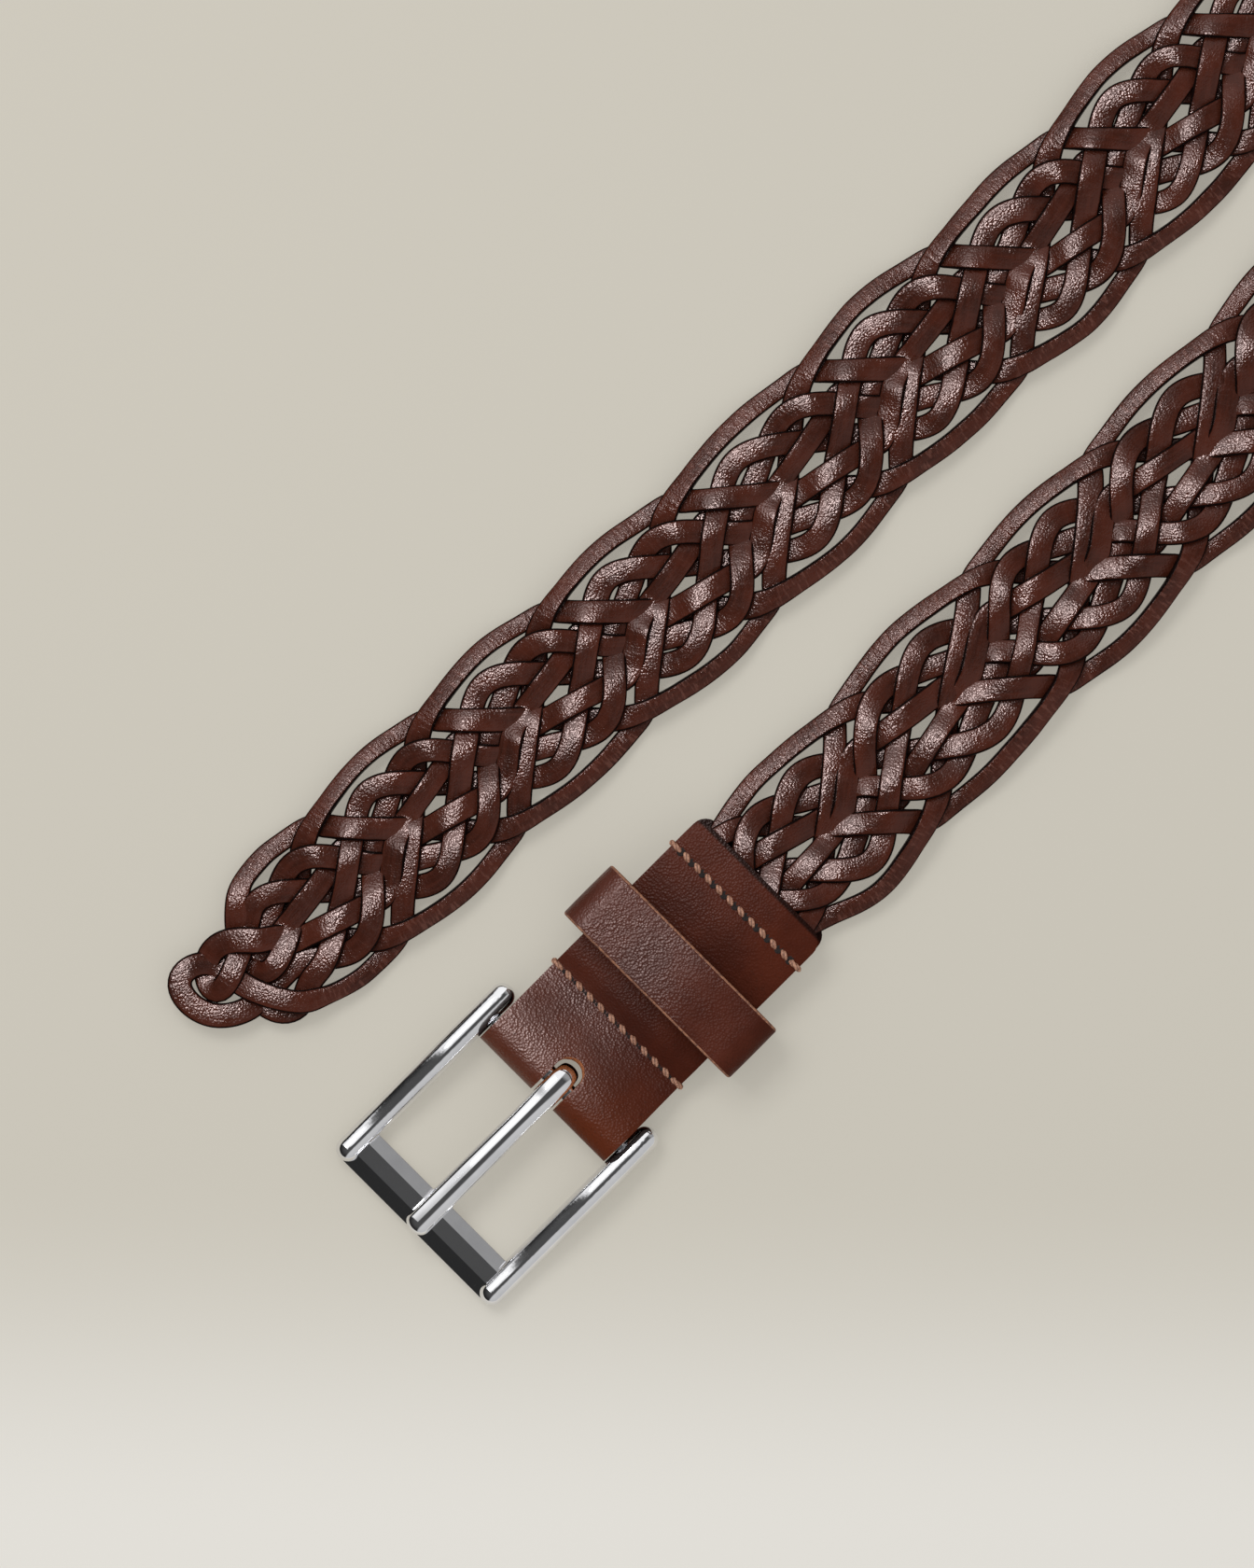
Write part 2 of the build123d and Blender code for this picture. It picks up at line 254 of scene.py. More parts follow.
# Crossings as (strand, station) of the upper lace and (strand, station) of the lower one.
CROSSINGS = (
    ((0, 0.99), (0, 1.99)), ((2, 1.81), (0, 0.81)), ((1, 1.56), (2, 1.56)),
    ((0, 2.18), (1, 1.18)), ((1, 1.67), (0, 0.67)), ((2, 1.98), (3, 0.98)),
    ((2, 0.03), (1, 1.03)), ((3, 1.11), (1, 1.11)), ((0, 2.31), (2, 1.31)),
    ((3, 0.75), (1, 1.75)), ((3, 1.23), (2, 1.23)), ((0, 2.42), (3, 0.42)),
    ((3, 0.56), (0, 0.56)), ((2, 1.13), (2, 0.13)), ((3, 1.33), (3, 0.33)),
    ((0, 2.47), (0, 0.47)), ((1, 1.89), (1, 0.89)), ((3, 0.23), (2, 0.23)),
    ((0, 0.42), (3, 1.42)), ((3, 1.56), (0, 2.56)), ((1, 0.03), (2, 1.03)),
    ((1, 0.11), (3, 0.11)), ((0, 0.31), (2, 0.31)), ((3, 1.75), (1, 0.75)),
    ((0, 0.18), (1, 0.18)), ((1, 0.67), (0, 2.67)), ((2, 0.98), (3, 1.98)),
    ((1, 0.56), (2, 0.56)), ((2, 0.81), (0, 2.81)), ((0, 2.99), (0, 3.99)),
)


def periodic_curve(nodes, periods, stations):
    """Smooth periodic curve through the nodes, read at the given stations."""
    node_at, value = np.array(nodes).T
    order = np.argsort(node_at)
    node_at, value = node_at[order], value[order]
    node_at = np.concatenate([node_at[-2:] - periods, node_at, node_at[:2] + periods])
    value = np.concatenate([value[-2:], value, value[:2]])
    position = node_at[0] + np.mod(stations - node_at[0], periods)
    return smooth_curve(node_at, value, np.gradient(value, node_at), position)


def circular_smooth(values, rounds):
    """Move each value halfway to the mean of its neighbours, round a closed list."""
    for _ in range(rounds):
        values = values + 0.5 * ((np.roll(values, 1) + np.roll(values, -1)) / 2 - values)
    return values


def weave_cell():
    """Across, height and roll of each kind of strand over its own periods."""
    across, begins, stations = [], [], []
    total = 0
    for strand in STRANDS:
        steps = CELL_STEPS * strand["periods"]
        station = np.arange(steps) / CELL_STEPS
        curve = periodic_curve(strand["nodes"], strand["periods"], station)
        across.append(circular_smooth(curve, 3))
        stations.append(station)
        begins.append(total)
        total += steps
    kind = np.concatenate([np.full(len(s), k) for k, s in enumerate(stations)])
    station = np.concatenate(stations)
    centre = np.concatenate(across)
    periods = np.array([strand["periods"] for strand in STRANDS])[kind]

    # Sample points over each lace's width, in one period of the pattern.
    rise = np.concatenate([(np.roll(a, -1) - np.roll(a, 1)) / 2 for a in across])
    run = PERIOD / CELL_STEPS
    tilt = np.arctan2(rise, run)
    offsets = np.linspace(-SAMPLE_REACH, SAMPLE_REACH, SAMPLE_COUNT) * LACE_WIDTH
    point_x = (station[:, None] * PERIOD - np.sin(tilt)[:, None] * offsets).ravel()
    point_y = (centre[:, None] + np.cos(tilt)[:, None] * offsets).ravel()
    owner = np.repeat(np.arange(len(station)), len(offsets))
    offset = np.tile(offsets, len(station))

    dx = point_x[:, None] - point_x[None, :]
    dx = np.abs(dx - PERIOD * np.round(dx / PERIOD))
    dy = np.abs(point_y[:, None] - point_y[None, :])
    close = (dx < TOUCH_REACH) & (dy < TOUCH_REACH)
    first, second = np.nonzero(np.triu(close, 1))

    def station_gap(index, strand, where):
        """Periods between sample points and a crossing's station, far off on other strands."""
        gap = station[owner[index]] - where
        gap = gap - periods[owner[index]] * np.round(gap / periods[owner[index]])
        return np.where(kind[owner[index]] == strand, np.abs(gap), FAR)

    best = np.full(len(first), FAR)
    sign = np.zeros(len(first))
    for upper, lower in CROSSINGS:
        for one, other, direction in ((first, second, 1.0), (second, first, -1.0)):
            cost = station_gap(one, *upper) + station_gap(other, *lower)
            better = cost < best
            best = np.where(better, cost, best)
            sign = np.where(better, direction, sign)
    keep = best < CROSSING_REACH
    first, second, sign = first[keep], second[keep], sign[keep]

    height = np.zeros(len(station))
    roll = np.zeros(len(station))
    seen = np.bincount(owner[first], minlength=len(station)).astype(float)
    seen += np.bincount(owner[second], minlength=len(station))
    seen = np.maximum(seen, 1.0)
    arm = np.mean(offsets ** 2)
    for _ in range(WEAVE_ROUNDS):
        level_now = height[owner] + roll[owner] * offset
        lack = LACE_THICKNESS * LACE_CLEARANCE - sign * (level_now[first] - level_now[second])
        push = np.maximum(lack, 0.0) * sign * 0.5
        for index, amount in ((first, push), (second, -push)):
            height += np.bincount(owner[index], amount, len(station)) / seen * HEIGHT_RATE
            turn = np.bincount(owner[index], amount * offset[index], len(station))
            roll += turn / seen / arm * ROLL_RATE
        for begin, strand in zip(begins, STRANDS):
            part = slice(begin, begin + CELL_STEPS * strand["periods"])
            height[part] = circular_smooth(height[part], 2) * HEIGHT_KEPT
            roll[part] = circular_smooth(roll[part], 3) * ROLL_KEPT
        roll = np.clip(roll, -ROLL_LIMIT, ROLL_LIMIT)
    result = []
    for begin, strand, curve in zip(begins, STRANDS, across):
        part = slice(begin, begin + CELL_STEPS * strand["periods"])
        result.append({"across": curve, "height": height[part], "roll": roll[part]})
    return result


CELL = weave_cell()


def read_cell(values, station):
    """Read a periodic list of strand values at fractional stations."""
    count = len(values)
    position = np.mod(station * CELL_STEPS, count)
    low = np.floor(position).astype(int) % count
    share = position - np.floor(position)
    return values[low] * (1 - share) + values[(low + 1) % count] * share


def crossing_period(along):
    """Periods counted from the first crossing of the loops, even beyond the last one."""
    start, end = CROSSING_ALONG[0], CROSSING_ALONG[-1]
    before = (along - start) / PERIOD
    after = CROSSING_PERIOD[-1] + (along - end) / PERIOD
    inside = np.interp(along, CROSSING_ALONG, CROSSING_PERIOD)
    return np.where(along < start, before, np.where(along > end, after, inside))


# Share of the full width at distances from the tip
TIP_NARROWING = ((14, 0.78), (18, 0.87), (24, 0.96), (30, 1.0))
TIP_START = 16.0
TIP_EASING = 5
TIP_EASED = 4.0

# How the five laces turn at the tip: the strand each comes from (kind and shift), its way through
# the knot (along, across, height) and the strand it goes back by
TIP_TURNS = (
    ((0, 2), ((14.0, 11.6, 1.1), (11.9, 9.7, 1.5), (9.2, 6.4, 1.5), (7.2, 3.0, 1.2), (6.0, -0.5, -1.0),
              (4.8, -3.6, -1.0), (1.8, -5.1, 0.2), (-1.2, -4.8, 0.4), (-2.6, -2.7, 0.4),
              (-2.3, 0.8, 0.4), (-0.5, 4.0, 0.4), (2.6, 6.0, 0.5), (6.0, 6.8, 0.0), (9.0, 6.2, -1.1),
              (12.0, 5.6, -1.1)), (2, 0)),
    ((1, 0), ((14.2, 10.8, -0.8), (12.0, 11.6, -0.6), (9.6, 10.6, -0.2), (8.0, 7.8, -0.4),
              (7.6, 5.0, -1.3), (8.4, 2.4, -1.3), (10.5, 1.0, -1.0), (13.0, 0.9, -0.8)), (3, 1)),
    ((0, 3), ((14.0, -1.5, 1.6), (11.5, -3.7, 1.4), (9.0, -5.2, 0.9), (6.2, -5.4, 0.1),
              (3.8, -4.0, -1.1), (2.2, -1.4, -1.1), (1.9, 0.8, -0.4), (3.4, 1.7, 0.8), (6.5, 0.2, 1.2),
              (9.3, -1.6, 0.9), (11.6, -3.4, -0.8), (13.6, -5.0, -0.8)), (1, 1)),
    ((0, 0), ((14.0, -8.8, 0.3), (12.0, -6.3, -0.6), (10.4, -3.4, -1.3), (9.6, -0.2, -1.3),
              (10.2, 2.6, -0.4), (11.6, 3.7, 0.9), (13.5, 3.4, 1.3)), (0, 1)),
    ((3, 0), ((14.0, 1.2, -0.2), (12.4, 0.9, -0.6), (11.8, -0.8, -0.9), (13.0, -2.0, -1.2)), (2, 1)),
)


def strand_points(kind, shift):
    """One strand from inside the tab to the tip: strap coordinates, roll and looseness."""
    along = np.arange(PATH["length"] - 0.5, TIP_START, -STRAND_STEP)
    cell = CELL[kind]
    wander_at, sway, lead = np.array(WANDER).T
    sway = np.interp(along, wander_at, sway)
    lead = np.interp(along, wander_at, lead)
    across = 0.0
    for _ in range(4):
        shifted = along + lead * np.asarray(across) / LOOP_REACH
        station = crossing_period(shifted) - shift
        across = read_cell(cell["across"], station)
    height = read_cell(cell["height"], station)
    roll = read_cell(cell["roll"], station)
    loose = np.clip((np.abs(across) - LOOSE_FROM) / LOOSE_OVER, 0.0, 1.0)
    narrow = np.interp(along, *np.array(TIP_NARROWING).T)
    into_tab = smooth_step((along - (PATH["length"] - SEWN_FROM)) / SEWN_OVER)
    narrow = narrow * (1 - (1 - SEWN_SHARE) * into_tab)
    height = height * (1 - SEWN_FLATTENING * into_tab)
    return {"along": along, "across": (across + sway) * narrow, "height": height, "roll": roll,
            "loose": loose * narrow}


def join_at_tip(one, nodes, other):
    """One lace folded in half: along one strand to the tip, through the knot and back by another."""
    ends = [[strand[key][-1] for key in ("along", "across", "height")] for strand in (one, other)]
    nodes = np.array([ends[0], *nodes, ends[1]])
    distance = distances(nodes)
    wanted = np.arange(STRAND_STEP, distance[-1], STRAND_STEP)
    turn = {key: np.interp(wanted, distance, nodes[:, axis])
            for axis, key in enumerate(("along", "across", "height"))}
    turn["roll"] = np.zeros(len(wanted))
    turn["loose"] = np.zeros(len(wanted))
    lace = {key: np.concatenate([one[key], turn[key], other[key][::-1]]) for key in one}
    inner = np.nonzero(lace["along"] < TIP_START + TIP_EASED)[0][1:-1]
    for key in lace:
        for _ in range(TIP_EASING):
            average = (lace[key][inner - 1] + lace[key][inner + 1]) / 2
            lace[key][inner] += 0.5 * (average - lace[key][inner])
    return lace


# Cross-section of a lace: a rounded bar with a crowned face, as shares of its width and thickness
LACE_SECTION = np.array([
    (-0.50, 0.10), (-0.492, 0.30), (-0.465, 0.42), (-0.41, 0.48), (-0.30, 0.51), (-0.12, 0.54),
    (0.12, 0.54), (0.30, 0.51), (0.41, 0.48), (0.465, 0.42), (0.492, 0.30), (0.50, 0.10),
    (0.47, -0.38), (0.36, -0.48), (0.0, -0.52), (-0.36, -0.48), (-0.47, -0.38),
])


def make_object(name, vertices, faces, body, material):
    """Link a mesh in metres as a piece that rides on a body."""
    mesh = bpy.data.meshes.new(name)
    mesh.from_pydata((np.asarray(vertices) * MM).tolist(), [], faces)
    mesh.materials.append(material)
    mesh.polygons.foreach_set("use_smooth", [True] * len(mesh.polygons))
    mesh.update()
    piece = bpy.data.objects.new(name, mesh)
    bpy.context.scene.collection.objects.link(piece)
    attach(piece, body)
    return piece


def store(piece, name, values):
    """Keep one number per vertex for the material to read."""
    attribute = piece.data.attributes.new(name, "FLOAT", "POINT")
    attribute.data.foreach_set("value", np.asarray(values, dtype=np.float32))


def bar_faces(stations, around, closed=False):
    """Faces of a bar: a ring of sides at each station, and two ends unless it is closed."""
    faces = []
    last = stations if closed else stations - 1
    for station in range(last):
        here = station * around
        following = ((station + 1) % stations) * around
        for side in range(around):
            beside = (side + 1) % around
            faces.append((here + side, here + beside, following + beside, following + side))
    if not closed:
        faces.append(tuple(range(around))[::-1])
        faces.append(tuple((stations - 1) * around + side for side in range(around)))
    return faces


def sweep_section(centres, width_axes, normals, section, widths, thicknesses, closed=False):
    """Vertices and faces of a bar with the given cross-section at each station."""
    across = section[None, :, 0, None] * widths[:, None, None] * width_axes[:, None, :]
    up = section[None, :, 1, None] * thicknesses[:, None, None] * normals[:, None, :]
    vertices = (centres[:, None, :] + across + up).reshape(-1, 3)
    return vertices, bar_faces(len(centres), len(section), closed)


def build_lace(name, strand, material, seed):
    """Sweep one folded lace along the braid."""
    points = on_strap(strand["along"], strand["across"], strand["height"])
    distance = distances(points)
    wanted = np.linspace(0.0, distance[-1], int(distance[-1] / LACE_STEP) + 1)
    extra = np.stack([strand["along"], strand["roll"], strand["loose"]], 1)
    points = resample(points, distance, wanted)
    for _ in range(2):
        points[1:-1] += 0.5 * ((points[:-2] + points[2:]) / 2 - points[1:-1])
    extra = resample(extra, distance, wanted)
    along, roll, loose = extra[:, 0], extra[:, 1], extra[:, 2]
    tangent = directions(points)
    side = np.cross(strap_axis("normal", along), tangent)
    side /= np.linalg.norm(side, axis=1)[:, None]
    normal = np.cross(tangent, side)
    # The roll is a slope across the strap's left; loops lean outward besides.
    facing = np.sign(np.sum(side * strap_axis("left", along), axis=1))
    outward = np.sign(np.interp(wanted, distance, strand["across"]))
    slope = facing * (roll - LOOP_LEAN * loose * outward)
    angle = np.arctan(slope)[:, None]
    width_axis = side * np.cos(angle) + normal * np.sin(angle)
    normal = np.cross(tangent, width_axis)
    random = np.random.default_rng(seed)
    span = wanted[-1] + WIDTH_CHANGE_STEP
    wander = np.interp(wanted, np.arange(0, span, WIDTH_CHANGE_STEP),
                       random.normal(0, WIDTH_CHANGE, int(span / WIDTH_CHANGE_STEP) + 1))
    widths = LACE_WIDTH * (1 + wander) * (1 - LOOP_NARROWING * loose)
    thicknesses = LACE_THICKNESS * (1 - wander)
    vertices, faces = sweep_section(points, width_axis, normal, LACE_SECTION, widths, thicknesses)
    piece = make_object(name, vertices, faces, "strap", material)
    around = len(LACE_SECTION)
    store(piece, "lengthwise", np.repeat(wanted, around) + seed * PATTERN_SHIFT)
    store(piece, "crosswise", np.tile(LACE_SECTION[:, 0], len(wanted)))
    store(piece, "upward", np.tile(LACE_SECTION[:, 1], len(wanted)))
    store(piece, "loose", np.repeat(loose, around))
    return piece


# --- Materials ---
WAX_TINT = (1.0, 0.80, 0.77, 1.0)
NICKEL_CLEAN = (0.86, 0.86, 0.875, 1.0)
NICKEL_SMEARED = (0.77, 0.77, 0.79, 1.0)
WARM_END, WARM_FULL = 14.0, -4.0
FRONT_END = TAB_HIGH[0] - 1.3


class Shader:
    """A short way to write the nodes of a material or of the world."""

    def __init__(self, owner, surface="Principled BSDF"):
        owner.use_nodes = True
        self.owner = owner
        self.nodes = owner.node_tree.nodes
        self.links = owner.node_tree.links
        self.surface = self.nodes[surface]

    def add(self, kind, **settings):
        """Make a node and set its properties."""
        node = self.nodes.new(kind)
        for key, value in settings.items():
            setattr(node, key, value)
        return node

    def feed(self, socket, value):
        """Join an output to a socket, or set the socket to a plain value."""
        if isinstance(value, bpy.types.NodeSocket):
            self.links.new(value, socket)
        else:
            socket.default_value = value

    def attribute(self, name):
        """Number that each vertex carries."""
        return self.add("ShaderNodeAttribute", attribute_name=name).outputs["Fac"]

    def place(self, kind="Object"):
        """Position in the object's own metres, or for the world's Generated the ray's direction."""
        return self.add("ShaderNodeTexCoord").outputs[kind]

    def split(self, vector):
        """The three numbers of a vector."""
        node = self.add("ShaderNodeSeparateXYZ")
        self.links.new(vector, node.inputs[0])
        return node.outputs

    def sum(self, operation, one, other=0.0, third=0.0):
        """Arithmetic on one, two or three numbers."""
        node = self.add("ShaderNodeMath", operation=operation)
        for socket, value in zip(node.inputs, (one, other, third)):
            self.feed(socket, value)
        return node.outputs[0]

    def vector(self, x, y, z=0.0):
        """Join three numbers to a vector."""
        node = self.add("ShaderNodeCombineXYZ")
        for socket, value in zip(node.inputs, (x, y, z)):
            self.feed(socket, value)
        return node.outputs[0]

    def feed_all(self, node, **values):
        """Feed sockets by name, with underscores for spaces."""
        for key, value in values.items():
            self.feed(node.inputs[key.replace("_", " ")], value)

    def noise(self, where, scale, detail=3.0, roughness=0.55):
        """Soft cloudy noise from 0 to 1."""
        node = self.add("ShaderNodeTexNoise")
        self.feed_all(node, Vector=where, Scale=scale, Detail=detail, Roughness=roughness)
        return node.outputs["Fac"]

    def cells(self, where, scale):
        """Distance pattern of scattered cells."""
        node = self.add("ShaderNodeTexVoronoi")
        self.feed_all(node, Vector=where, Scale=scale)
        return node.outputs["Distance"]

    def ramp(self, value, low, high, start=0.0, end=1.0):
        """Map low..high smoothly to start..end, held outside that range."""
        node = self.add("ShaderNodeMapRange", interpolation_type="SMOOTHSTEP")
        self.feed_all(node, Value=value, From_Min=low, From_Max=high, To_Min=start, To_Max=end)
        return node.outputs["Result"]

    def blend(self, share, one, other, kind="RGBA"):
        """Mix two colours, or two numbers when kind is FLOAT."""
        node = self.add("ShaderNodeMix", data_type=kind)
        self.feed(node.inputs["Factor"], share)
        wanted = "VALUE" if kind == "FLOAT" else kind
        ends = [socket for socket in node.inputs if socket.type == wanted and socket.name != "Factor"]
        for socket, value in zip(ends, (one, other)):
            self.feed(socket, value)
        return [socket for socket in node.outputs if socket.type == wanted][0]

    def bump(self, height, depth, after=None):
        """Small relief, with its depth in millimetres."""
        node = self.add("ShaderNodeBump")
        self.feed_all(node, Height=height, Distance=depth * MM)
        if after is not None:
            self.links.new(after, node.inputs["Normal"])
        return node.outputs["Normal"]

    def finish(self, **values):
        """Join colours and numbers to the surface."""
        self.feed_all(self.surface, **values)
        return self.owner


def new_material(name):
    """Shader of a new material."""
    return Shader(bpy.data.materials.new(name))


def colour(red, green, blue):
    """Linear colour from screen values of 0 to 255."""
    def linear(value):
        """One channel of the standard screen curve, undone."""
        value = value / 255
        return value / 12.92 if value <= 0.04045 else ((value + 0.055) / 1.055) ** 2.4
    return (linear(red), linear(green), linear(blue), 1.0)


def lace_material():
    """Dark brown lace leather with near-black edges and creases, deepest on the drawn-out loops, and
    lower sides painted near-black as shade.
    """
    shader = new_material("lace_leather")
    lengthwise = shader.attribute("lengthwise")
    crosswise = shader.attribute("crosswise")
    upward = shader.attribute("upward")
    loose = shader.attribute("loose")
    along_lace = shader.vector(lengthwise, shader.sum("MULTIPLY", crosswise, LACE_WIDTH), upward)
    across_creases = shader.vector(lengthwise, shader.sum("MULTIPLY", crosswise, 0.9), upward)
    patches = shader.ramp(shader.noise(along_lace, 0.09, 2.0), 0.35, 0.68)
    streaks = shader.noise(shader.vector(shader.sum("MULTIPLY", lengthwise, 0.15),
                                         shader.sum("MULTIPLY", crosswise, 6.0)), 1.0, 4.0)
    tone = shader.blend(patches, colour(48, 21, 13), colour(70, 31, 20))
    tone = shader.blend(shader.ramp(streaks, 0.3, 0.75, 0.0, 0.45), tone, colour(80, 39, 28))
    creases = shader.noise(across_creases, 1.6, 3.0, 0.65)
    crease_mark = shader.ramp(creases, 0.50, 0.66)
    lit_creases = shader.sum("MULTIPLY", crease_mark, shader.sum("MULTIPLY_ADD", loose, 0.5, 0.08))
    tone = shader.blend(lit_creases, tone, colour(100, 62, 52))
    edge = shader.sum("ABSOLUTE", crosswise)
    edge_noise = shader.sum("MULTIPLY_ADD", shader.noise(along_lace, 1.1, 2.0), 0.05, edge)
    dark_edge = shader.ramp(edge_noise, 0.437, 0.478)
    # Painted shade: the lace's lower sides are darkened to the same near-black as its edges.
    painted_underside_shade = shader.ramp(upward, 0.30, 0.12)
    tone = shader.blend(shader.sum("MAXIMUM", dark_edge, painted_underside_shade), tone, colour(16, 8, 7))
    flesh_side = shader.ramp(upward, -0.40, -0.46)
    tone = shader.blend(flesh_side, tone, colour(92, 58, 42))
    grain = shader.cells(along_lace, 2.6)
    relief = shader.bump(grain, 0.045)
    deep_creases = shader.sum("MULTIPLY", creases, shader.sum("MULTIPLY_ADD", loose, 0.65, 0.25))
    relief = shader.bump(deep_creases, 0.24, relief)
    rough = shader.ramp(shader.noise(along_lace, 0.8, 3.0), 0.3, 0.7, 0.13, 0.25)
    gloss = shader.ramp(edge_noise, 0.41, 0.46, 0.27, 0.02)
    return shader.finish(Base_Color=tone, Roughness=rough, Normal=relief, Specular_IOR_Level=gloss,
                         Specular_Tint=WAX_TINT)


def tab_material(name, warm_share, far_polish, base, deep):
    """Smooth chestnut leather with a fine pebble grain, warmer and more polished near the fold."""
    shader = new_material(name)
    place = shader.place()
    x, y, _ = shader.split(place)
    warm = shader.ramp(x, WARM_END * MM, WARM_FULL * MM, 0.0, warm_share)
    patches = shader.ramp(shader.noise(place, 90.0, 3.0), 0.35, 0.7)
    tone = shader.blend(patches, base, deep)
    tone = shader.blend(warm, tone, colour(98, 44, 20))
    grain = shader.cells(place, 2300.0)
    pores = shader.ramp(shader.noise(place, 1500.0, 2.0), 0.58, 0.72)
    tone = shader.blend(shader.sum("MULTIPLY", pores, 0.35), tone, colour(54, 28, 20))
    relief = shader.bump(shader.noise(place, 260.0, 4.0), 0.09)
    relief = shader.bump(grain, 0.09, relief)
    rough = shader.ramp(shader.noise(place, 320.0, 3.0), 0.3, 0.7, 0.33, 0.44)
    wear = shader.sum("MULTIPLY_ADD", shader.noise(place, 70.0, 3.0), 0.012, y)
    polish = shader.ramp(wear, -0.003, 0.012, 0.06, 0.5)
    near_fold = shader.ramp(x, 0.010, 0.019, 1.0, far_polish)
    polish = shader.sum("MULTIPLY", polish, near_fold)
    end = shader.ramp(x, (FRONT_END - 1.1) * MM, (FRONT_END - 0.5) * MM, 0.0, 0.9)
    tone = shader.blend(end, tone, colour(20, 11, 9))
    return shader.finish(Base_Color=tone, Roughness=rough, Normal=relief,
                         Specular_IOR_Level=polish, Specular_Tint=WAX_TINT)


def raw_material(name, base, deep, rough=0.75):
    """Cut leather edge: fibrous and matt."""
    shader = new_material(name)
    place = shader.place()
    fibres = shader.noise(place, 1400.0, 4.0, 0.7)
    tone = shader.blend(shader.ramp(fibres, 0.35, 0.65), base, deep)
    return shader.finish(Base_Color=tone, Roughness=rough, Normal=shader.bump(fibres, 0.12))


def thread_material():
    """Waxed tan thread with visible plies, the grooves between them painted darker as shade."""
    shader = new_material("waxed_thread")
    plies = shader.attribute("plies")
    place = shader.place()
    fuzz = shader.noise(place, 2600.0, 3.0, 0.7)
    tone = shader.blend(shader.ramp(fuzz, 0.3, 0.7), colour(128, 82, 62), colour(196, 148, 122))
    # Painted shade: the grooves between the plies are darkened.
    tone = shader.blend(shader.ramp(plies, -0.2, -0.9, 0.0, 0.6), tone, colour(70, 38, 26))
    return shader.finish(Base_Color=tone, Roughness=0.6, Normal=shader.bump(fuzz, 0.08))


def metal_material():
    """Polished nickel with faint wiping marks."""
    shader = new_material("polished_nickel")
    place = shader.place()
    smear = shader.noise(place, 160.0, 4.0, 0.6)
    rough = shader.ramp(smear, 0.35, 0.75, 0.045, 0.11)
    relief = shader.bump(shader.noise(place, 60.0, 2.0), 0.03)
    tone = shader.blend(shader.ramp(smear, 0.3, 0.8), NICKEL_CLEAN, NICKEL_SMEARED)
    return shader.finish(Base_Color=tone, Metallic=1.0, Roughness=rough, Normal=relief)


LACE_LEATHER = lace_material()
TAB_LEATHER = tab_material("tab_leather", 0.55, 0.12, colour(76, 34, 22), colour(62, 27, 18))
KEEPER_LEATHER = tab_material("keeper_leather", 0.0, 0.5, colour(78, 37, 26), colour(64, 29, 20))
BURNISHED_EDGE = raw_material("burnished_edge", colour(48, 26, 20), colour(30, 17, 14), 0.5)
RAW_EDGE = raw_material("raw_edge", colour(196, 118, 62), colour(150, 84, 44))
TAN_EDGE = raw_material("tan_edge", colour(158, 106, 74), colour(96, 56, 40))
# Painted shade: near-black marks stand for the shade inside the stitch holes.
PAINTED_HOLE_SHADE = raw_material("painted_hole_shade", colour(30, 16, 12), colour(20, 11, 9), 0.8)
THREAD = thread_material()
NICKEL = metal_material()

# --- Laces ---


def build_laces():
    """Five laces, each folded in half at the tip, so that ten strands run to the tab."""
    stands_for = ("edge_lace_a", "core_lace_a", "core_lace_b", "edge_lace_b", "core_lace_c")
    for number, (one, nodes, other) in enumerate(TIP_TURNS):
        lace = join_at_tip(strand_points(*one), nodes, strand_points(*other))
        piece = build_lace(f"lace_{number + 1}", lace, LACE_LEATHER, number + 11)
        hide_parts(stands_for[number])


build_laces()

# --- Folded tab ---
FOLD_MIDDLE = -FLOOR - LEATHER / 2
BACK_LEVEL = FLOOR + LEATHER / 2
SLOT_WIDTH = 5.3
SLOT_END = 6.5
SLOT_REACH = 5.3
TAB_CORNER = 3.0
TAB_GRID = 0.75
SLOT_GRID = 0.5
FOLD_STEPS = 30
LAYER_STEP = 0.25
SLOT_CLEARANCE = 0.35
CORNER_CLEARANCE = 0.4
SLOT_TOLERANCE = 0.06
SMALLEST_FACE = 1e-3
GROOVE_DEPTH, GROOVE_WIDTH = 0.22, 1.1
EDGE_FALL, EDGE_FALL_WIDTH = 0.12, 0.9
EDGE_ROUNDING = 0.32
EDGE_STEPS = 3
SHARP_EDGE = math.radians(50)
KEEPER_LAYER = BACK_LEVEL + LEATHER / 2 + 1.45 + LEATHER / 2
SEAM_LAYER = BACK_LEVEL + LEATHER + 0.05
SEWN_LAYER = BACK_LEVEL + LEATHER + 3.0
KEEPER_X = (KEEPER_LOW[0] + KEEPER_HIGH[0]) / 2

LAYER_NODES = ((0.0, FOLD_MIDDLE, 0.0), (SLOT_END, 1.45, -0.36), (FIRST_SEAM, SEAM_LAYER, 0.0),
               (FIRST_SEAM + 4.0, KEEPER_LAYER, 0.0), (KEEPER_X, KEEPER_LAYER, 0.0),
               (SEWN_START, SEWN_LAYER, 0.05), (FRONT_END + 5, SEWN_LAYER + 0.15, 0.0))


def layer_height(x):
    """Height of the middle of the tab's front layer at each x."""
    at, height, slope = np.array(LAYER_NODES).T
    return smooth_curve(at, height, slope, x)


def tab_path():
    """Middle line of the tab from the front layer's end, round the fold, to the back's end."""
    front_x = np.arange(FRONT_END, 0, -LAYER_STEP)
    front = np.stack([front_x, layer_height(front_x)], 1)
    angles = np.linspace(math.pi / 2, 3 * math.pi / 2, FOLD_STEPS)
    fold = FOLD_MIDDLE * np.stack([np.cos(angles), np.sin(angles)], 1)
    back_x = np.arange(LAYER_STEP, TAB_HIGH[0] + 0.1, LAYER_STEP)
    back = np.stack([back_x, np.full(len(back_x), BACK_LEVEL)], 1)
    points = np.concatenate([front, fold, back])
    return points, distances(points)


